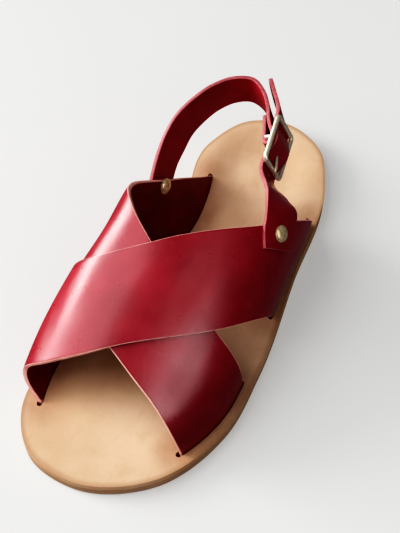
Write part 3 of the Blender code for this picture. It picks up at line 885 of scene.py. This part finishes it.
def rivet_tree():
    """Rivet caps: a low dome with a flat base on a thin rim."""
    maker, entry = new_tree("rivet caps", ("Radius", "Height", "Rim"))
    sockets = {"Segments": RIVET_SIDES, "Rings": RIVET_RINGS, "Radius": 1.0}
    ball = maker.node("GeometryNodeMeshUVSphere", None, sockets)
    place = maker.node("GeometryNodeInputPosition")
    lowest = (-1.0, -1.0, 0.0)
    flat = maker.node("ShaderNodeVectorMath", {"operation": "MAXIMUM"}, {0: place, 1: lowest})
    dome = maker.node("GeometryNodeSetPosition", None, {"Geometry": ball, "Position": flat})
    inset = entry["Radius"] * DOME_SHARE
    size = maker.node("ShaderNodeCombineXYZ", None, {0: inset, 1: inset, 2: entry["Height"]})
    lift = maker.node("ShaderNodeCombineXYZ", None, {2: entry["Rim"]})
    dome = maker.node("GeometryNodeTransform", None, {"Geometry": dome, "Translation": lift, "Scale": size})
    sockets = {"Vertices": RIVET_SIDES, "Radius": entry["Radius"], "Depth": entry["Rim"]}
    rim = maker.node("GeometryNodeMeshCylinder", None, sockets)
    raised = maker.node("ShaderNodeCombineXYZ", None, {2: entry["Rim"] * 0.5})
    rim = maker.node("GeometryNodeTransform", None, {"Geometry": rim, "Translation": raised})
    both = maker.node("GeometryNodeJoinGeometry")
    for part in (rim, dome):
        maker.tree.links.new(part.socket, both.socket.node.inputs[0])
    return set_on_points(maker, entry, both, "Z")


def stitch_tree():
    """Stitches: short rounded strokes of thread."""
    maker, entry = new_tree("stitches", ("Length", "Thread"))
    sockets = {"Segments": STITCH_SIDES, "Rings": STITCH_RINGS, "Radius": 0.5}
    ball = maker.node("GeometryNodeMeshUVSphere", None, sockets)
    thread = entry["Thread"]
    size = maker.node("ShaderNodeCombineXYZ", None, {0: entry["Length"], 1: thread, 2: thread})
    stroke = maker.node("GeometryNodeTransform", None, {"Geometry": ball, "Scale": size})
    return set_on_points(maker, entry, stroke, "X")


def set_shapes(name, tree, places, headings, material, **sizes):
    """Plain mesh of the tree's shape on every place; sizes are in millimetres."""
    piece = points_object(name, places, headings)
    nodes = piece.modifiers.new("Set on points", "NODES")
    nodes.node_group = tree
    for item in tree.interface.items_tree:
        if item.in_out == "INPUT" and item.name in sizes:
            nodes[item.identifier] = sizes[item.name] * MM
        if item.name == "Material":
            nodes[item.identifier] = material
    apply_modifiers(piece)
    return piece


# Pieces


def make_straps(finishes):
    """The two crossed straps over the foot."""
    for name, edges, creases, height in (
        ("over_strap", OVER_STRAP, OVER_CREASES, STRAP_HEIGHT),
        ("under_strap", UNDER_STRAP, UNDER_CREASES, -STRAP_HEIGHT),
    ):
        strap = sheet(name, strap_points(edges, creases, height))
        finish_leather(strap, STRAP_THICKNESS, STRAP_EDGE_ROUND, finishes, ["upper"])


def finish_leather(piece, thickness, rounding, finishes, nodes, cutters=()):
    """Thickness, rounded edges, holes and the finishes of outer face, inner face and cut edge."""
    for finish in finishes:
        piece.data.materials.append(finish)
    thicken(piece, thickness)
    round_edges(piece, rounding, LEATHER_EDGE_STEPS, EDGE_FINISH)
    for cutter in cutters:
        combine(piece, cutter, "DIFFERENCE")
    apply_modifiers(piece)
    hand_in(piece, nodes)


def outline_radius():
    """Function that gives the distance from the origin to the outline, by its angle."""
    points = np.concatenate((OUTLINE[-OUTLINE_WRAP:], OUTLINE, OUTLINE[:OUTLINE_WRAP]))
    stations = distances_along(points)
    once_round = np.linspace(stations[OUTLINE_WRAP], stations[-OUTLINE_WRAP], OUTLINE_STEPS)
    samples = smooth(stations, points, once_round)
    angles = np.arctan2(samples[:, 1], samples[:, 0])
    lengths = np.hypot(samples[:, 0], samples[:, 1])
    return lambda angle: np.interp(angle, angles, lengths, period=2 * math.pi)


def toe_lift(y):
    """Rise of the sole towards the toe."""
    rise = max(0.0, (TOE_SPRING_FROM - y) / (TOE_SPRING_FROM - TOE_END))
    return TOE_SPRING * rise ** 2


def heel_cup(x, y):
    """Height of the footbed over its plain top: a dish with a raised rim under the heel."""
    from_middle = math.hypot((x - CUP_CENTRE[0]) / CUP_HALF_WIDTH, (y - CUP_CENTRE[1]) / CUP_HALF_LENGTH)
    bowl = fade(CUP_FLAT, 1.0, from_middle) * (CUP_DEPTH + CUP_RIM) - CUP_DEPTH
    return bowl * fade(*CUP_FADE, y)


def sole_layer(name, bottom, top, rounding):
    """Sole layer: a grid spread over the outline and thickened, with top and bottom at their heights."""
    radius = outline_radius()
    half_width = np.ptp(OUTLINE[:, 0]) / 2
    half_length = np.ptp(OUTLINE[:, 1]) / 2
    bm = bmesh.new()
    bmesh.ops.create_grid(bm, x_segments=SOLE_COLUMNS, y_segments=SOLE_ROWS, size=1.0)
    for vertex in bm.verts:
        a, b = vertex.co.x, vertex.co.y
        disc = np.array((a * math.sqrt(1 - b * b / 2), b * math.sqrt(1 - a * a / 2)))
        angle = math.atan2(disc[1] * half_length, disc[0] * half_width)
        reach = np.linalg.norm(disc) * radius(angle)
        vertex.co = (reach * math.cos(angle), reach * math.sin(angle), 0.0)
    bmesh.ops.solidify(bm, geom=bm.faces[:], thickness=1.0)
    middle = sum(vertex.co.z for vertex in bm.verts) / len(bm.verts)
    for vertex in bm.verts:
        x, y, z = vertex.co
        height = (top if z > middle else bottom)(x, y) + toe_lift(y)
        vertex.co = Vector((x, y, height)) * MM
    bmesh.ops.recalc_face_normals(bm, faces=bm.faces[:])
    layer = new_object(name, mesh_from(bm, name))
    round_edges(layer, rounding, SOLE_EDGE_STEPS)
    return layer


def slot_cutter(name, edges, share, height):
    """Upright slab that cuts one slot."""
    row = edges[0] if share == 0.0 else edges[-1]
    y = np.linspace(row[1] - SLOT_END_GAP, row[2] + SLOT_END_GAP, SLOT_STEPS)
    shares = np.full_like(y, share)
    points = last_points(shares, y) + level(last_normals(shares, y)) * height
    heights = np.linspace(SLOT_CUT_LOW, SLOT_CUT_HIGH, SLOT_CUT_ROWS)
    grid = np.repeat(points[:, None], len(heights), axis=1)
    grid[:, :, 2] = heights
    cutter = sheet(name, grid)
    thicken(cutter, SLOT_WIDTH)
    apply_modifiers(cutter)
    return cutter, points


def make_footbed(tan):
    """Footbed with its four slots, each with a round punch at both ends."""
    footbed = sole_layer(
        "footbed_leather",
        lambda x, y: FOOTBED_BOTTOM,
        lambda x, y: FOOTBED_TOP + heel_cup(x, y),
        FOOTBED_EDGE_ROUND,
    )
    cutters = []
    slots = []
    for label, edges, height in (("under", UNDER_STRAP, -STRAP_HEIGHT), ("over", OVER_STRAP, STRAP_HEIGHT)):
        for side, share in (("medial", 0.0), ("lateral", 1.0)):
            cutter, points = slot_cutter(f"{label}_{side}_slot", edges, share, height)
            cutters.append(cutter)
            slots.append(points)
    ends = [points[end] for points in slots for end in (0, -1)]
    upright = [(0.0, 0.0, 1.0)] * len(ends)
    middles = [(x, y, (SLOT_CUT_LOW + SLOT_CUT_HIGH) / 2) for x, y, z in ends]
    sizes = {"Radius": SLOT_WIDTH / 2, "Length": SLOT_CUT_HIGH - SLOT_CUT_LOW}
    cutters.append(set_shapes("slot_punches", punch_tree(), middles, upright, tan, **sizes))
    for cutter in cutters:
        combine(footbed, cutter, "DIFFERENCE")
    apply_modifiers(footbed)
    for cutter in cutters:
        bpy.data.objects.remove(cutter)
    footbed.data.materials.clear()
    footbed.data.materials.append(tan)
    add_distances(footbed.data, np.concatenate(slots))
    hand_in(footbed, ["footbed"])


def add_distances(mesh, slots):
    """Attributes with each point's distance from the sole's rim and from the nearest slot, in metres."""
    places = np.array([vertex.co[:2] for vertex in mesh.vertices]) / MM
    radius = outline_radius()
    rim = radius(np.arctan2(places[:, 1], places[:, 0])) - np.hypot(places[:, 0], places[:, 1])
    slot = np.linalg.norm(places[:, None] - slots[None, :, :2], axis=2).min(axis=1)
    for name, distance in (("rim", rim), ("slot", slot)):
        attribute = mesh.attributes.new(name, "FLOAT", "POINT")
        attribute.data.foreach_set("value", np.maximum(distance, 0.0) * MM)


def make_outsole(brown):
    outsole = sole_layer("outsole_rubber", lambda x, y: 0.0, lambda x, y: OUTSOLE_THICKNESS, SOLE_EDGE_ROUND)
    apply_modifiers(outsole)
    outsole.data.materials.append(brown)
    hand_in(outsole, ["outsole"])


def make_narrow_straps(finishes):
    """Slingback and fastening strap, with punched holes in the fastening strap."""
    heel = sheet("slingback", band_points(heel_rows(), HEEL_SEGMENTS))
    room = prong_room()
    finish_leather(heel, BAND_SHOWN, BAND_EDGE_ROUND, finishes, ["heel_strap"], [room])
    points = band_points(fastening_rows(), FASTENING_SEGMENTS)
    holes = punched_holes(points, finishes[EDGE_FINISH])
    fastening = sheet("fastening_strap_leather", points)
    cutters = [room, holes]
    finish_leather(fastening, BAND_SHOWN, BAND_EDGE_ROUND, finishes, ["fastening_strap"], cutters)
    for cutter in cutters:
        bpy.data.objects.remove(cutter)


def punched_holes(points, edge):
    """Cutters of the holes along the fastening strap, spaced evenly from the one that the prong uses."""
    middle = points[:, BAND_COLUMNS // 2]
    runs = distances_along(middle)
    used = runs[np.argmin(np.linalg.norm(middle - at_buckle(0.0, 0.0, hump(0.0)), axis=1))]
    places = []
    headings = []
    for step in HOLE_STEPS:
        row = int(np.searchsorted(runs, used + step * HOLE_SPACING))
        across = points[row, -1] - points[row, 0]
        places.append(middle[row])
        headings.append(unit(np.cross(middle[row + 1] - middle[row - 1], across)))
    sizes = {"Radius": HOLE_RADIUS, "Length": PUNCH_LENGTH}
    return set_shapes("strap_punches", punch_tree(), places, headings, edge, **sizes)


def buckle_outline():
    """Rounded rectangle of the buckle's wire."""
    points = []
    for along_sign, across_sign, start in ((1, 1, 0), (-1, 1, 90), (-1, -1, 180), (1, -1, 270)):
        for step in range(CORNER_STEPS + 1):
            angle = math.radians(start + 90 * step / CORNER_STEPS)
            along = along_sign * (BAR_PLACE - BUCKLE_CORNER) + BUCKLE_CORNER * math.cos(angle)
            across = across_sign * (RAIL_PLACE - BUCKLE_CORNER) + BUCKLE_CORNER * math.sin(angle)
            points.append(at_buckle(along, across, 0.0))
    return points


def prong_points():
    """Prong: a ring round the centre bar, then straight to its rest on the front bar."""
    ring = BUCKLE_WIRE + BAND_GAP + PRONG_WIRE
    points = []
    for degrees in range(PRONG_START, PRONG_END - 1, PRONG_STEP):
        angle = math.radians(degrees)
        points.append(at_buckle(ring * math.cos(angle), 0.0, ring * math.sin(angle) - BAR_DROP))
    points.append(at_buckle(BAR_PLACE, 0.0, ring))
    points.append(at_buckle(BAR_PLACE + PRONG_TIP, 0.0, ring))
    return points


def wire(name, points, radius, tip=1.0, closed=False):
    """Round wire along points, with its radius scaled at the tip, as a welded mesh object."""
    curve = bpy.data.curves.new(name, "CURVE")
    curve.dimensions = "3D"
    curve.bevel_depth = MM
    curve.bevel_resolution = WIRE_ROUNDNESS
    curve.use_fill_caps = True
    spline = curve.splines.new("POLY")
    spline.points.add(len(points) - 1)
    for spline_point, point in zip(spline.points, points):
        spline_point.co = (*(Vector(point) * MM), 1.0)
        spline_point.radius = radius
    spline.points[-1].radius = radius * tip
    spline.use_cyclic_u = closed
    holder = new_object(name, curve)
    graph = bpy.context.evaluated_depsgraph_get()
    mesh = bpy.data.meshes.new_from_object(holder.evaluated_get(graph))
    bpy.data.objects.remove(holder)
    bm = bmesh.new()
    bm.from_mesh(mesh)
    bmesh.ops.remove_doubles(bm, verts=bm.verts[:], dist=WELD_DISTANCE * MM)
    bmesh.ops.recalc_face_normals(bm, faces=bm.faces[:])
    bm.to_mesh(mesh)
    bm.free()
    return new_object(name, mesh)


def prong_room():
    """Cutter that leaves room for the prong in the leather."""
    return wire("prong_room", prong_points(), PRONG_WIRE + PRONG_ROOM)


def make_buckle(nickel):
    """Wire frame with its centre bar, and the prong with a thinner tip."""
    buckle = wire("buckle_wire", buckle_outline(), BUCKLE_PLATED, closed=True)
    bends = ((-RAIL_PLACE, 0.0), (-RAIL_PLACE, -BAR_DROP), (RAIL_PLACE, -BAR_DROP), (RAIL_PLACE, 0.0))
    bar = wire("centre_bar", [at_buckle(0.0, across, out) for across, out in bends], BAR_WIRE)
    combine(buckle, bar, "UNION")
    apply_modifiers(buckle)
    bpy.data.objects.remove(bar)
    prong = wire("prong_wire", prong_points(), PRONG_WIRE, PRONG_POINT)
    for piece, node in ((buckle, "buckle_frame"), (prong, "buckle_prong")):
        piece.data.materials.clear()
        piece.data.materials.append(nickel)
        hand_in(piece, [node])


def make_rivets(brass):
    """Domed caps on both faces of the leather at each rivet."""
    tree = rivet_tree()
    wall = STRAP_HEIGHT + STRAP_THICKNESS / 2
    tab = wall + RIVET_STANDOFF + BAND_THICKNESS
    for name, spot, low, high in (
        ("rivet_medial", RIVET_MEDIAL, -wall, BAND_GAP + BAND_THICKNESS),
        ("rivet_lateral", RIVET_LATERAL, STRAP_CLEARANCE, tab),
    ):
        normal = normal_at(*spot)
        places = [on_last(*spot, high), on_last(*spot, low)]
        sizes = {"Radius": RIVET_CAP, "Height": RIVET_CAP_HEIGHT, "Rim": RIVET_RIM}
        rivet = set_shapes(f"{name}_caps", tree, places, [normal, -normal], brass, **sizes)
        hand_in(rivet, [name])


def make_stitches(thread):
    """Two short rows of stitches, on both faces, that hold the slingback's fold behind the buckle."""
    places = []
    headings = []
    for along in STITCH_ROWS:
        outer_face = heel_layer(along) + BAND_SHOWN / 2
        inner_face = return_layer(along) - BAND_SHOWN / 2
        for out in (outer_face, inner_face):
            for across in np.linspace(-STITCH_REACH, STITCH_REACH, STITCHES_IN_ROW):
                places.append(at_buckle(along, across, out))
                headings.append(BUCKLE_ACROSS)
    sizes = {"Length": STITCH_LENGTH, "Thread": STITCH_THREAD}
    stitches = set_shapes("fold_stitches", stitch_tree(), places, headings, thread, **sizes)
    stitches.data.shade_smooth()
    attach(stitches, BODY)


# Stage


def make_floor():
    bm = bmesh.new()
    bmesh.ops.create_grid(bm, x_segments=1, y_segments=1, size=FLOOR_SIZE / 2)
    floor = new_object("floor", mesh_from(bm, "floor"))
    floor.data.materials.append(pale_floor())
    floor.visible_glossy = False


def aimed(name, data, place, aim):
    """Light or camera at its place, turned to its aim."""
    holder = new_object(name, data)
    holder.location = place
    holder.rotation_euler = (aim - Vector(place)).to_track_quat("-Z", "Y").to_euler()
    return holder


def make_light(name, place, size, power, colour, spread, matt, glossy):
    """Soft panel aimed at the shoe, seen by matt surfaces, by glossy ones or by both."""
    light = bpy.data.lights.new(name, "AREA")
    light.shape = "RECTANGLE"
    light.size, light.size_y = size
    light.energy = power
    light.color = colour
    light.spread = math.radians(spread)
    holder = aimed(name, light, place, LIGHT_AIM)
    holder.visible_diffuse = matt
    holder.visible_glossy = glossy


def set_film_curve(settings):
    """Plain view transform with the soft contrast of a photograph."""
    settings.view_transform = "Standard"
    settings.use_curve_mapping = True
    curve = settings.curve_mapping.curves[COMBINED_CURVE]
    for point in FILM_CURVE:
        curve.points.new(*point)
    settings.curve_mapping.update()


def make_stage():
    """Film curve, pale floor, daylight from the inner side, soft light from above, and the camera."""
    set_film_curve(bpy.context.scene.view_settings)
    make_floor()
    for light in LIGHTS:
        make_light(*light)
    world = bpy.data.worlds.new("studio")
    bpy.context.scene.world = world
    world.use_nodes = True
    sky = world.node_tree.nodes["Background"]
    sky.inputs["Color"].default_value = SKY_COLOUR
    sky.inputs["Strength"].default_value = SKY_STRENGTH
    camera = bpy.data.cameras.new("camera")
    camera.lens = CAMERA_LENS
    camera.clip_start = CAMERA_NEAR
    bpy.context.scene.camera = aimed("camera", camera, CAMERA_PLACE, CAMERA_AIM)


def main():
    make_stage()
    grain = crimson_grain()
    # Painted shade: the crossed straps' inner side takes a darker copy of the flesh finish than the narrow
    # straps, for the shade under them.
    flesh_with_painted_shade = crimson_flesh("dark flesh side", (0.15, 0.008, 0.013), (0.215, 0.012, 0.019))
    crimson_side = crimson_flesh("crimson flesh side", (0.25, 0.011, 0.023), (0.33, 0.0165, 0.032))
    pale_edge = cut_edge("pale cut edge", (0.64, 0.3, 0.27), (0.8, 0.48, 0.42), (0.48, 0.11, 0.11))
    dyed_edge = cut_edge("dyed cut edge", (0.34, 0.07, 0.085), (0.47, 0.15, 0.16), (0.28, 0.032, 0.044))
    make_outsole(brown_sole())
    make_footbed(tan_footbed())
    make_straps((grain, flesh_with_painted_shade, pale_edge))
    make_narrow_straps((grain, crimson_side, dyed_edge))
    make_buckle(worn_nickel())
    make_rivets(antique_brass())
    make_stitches(stitch_thread())


main()
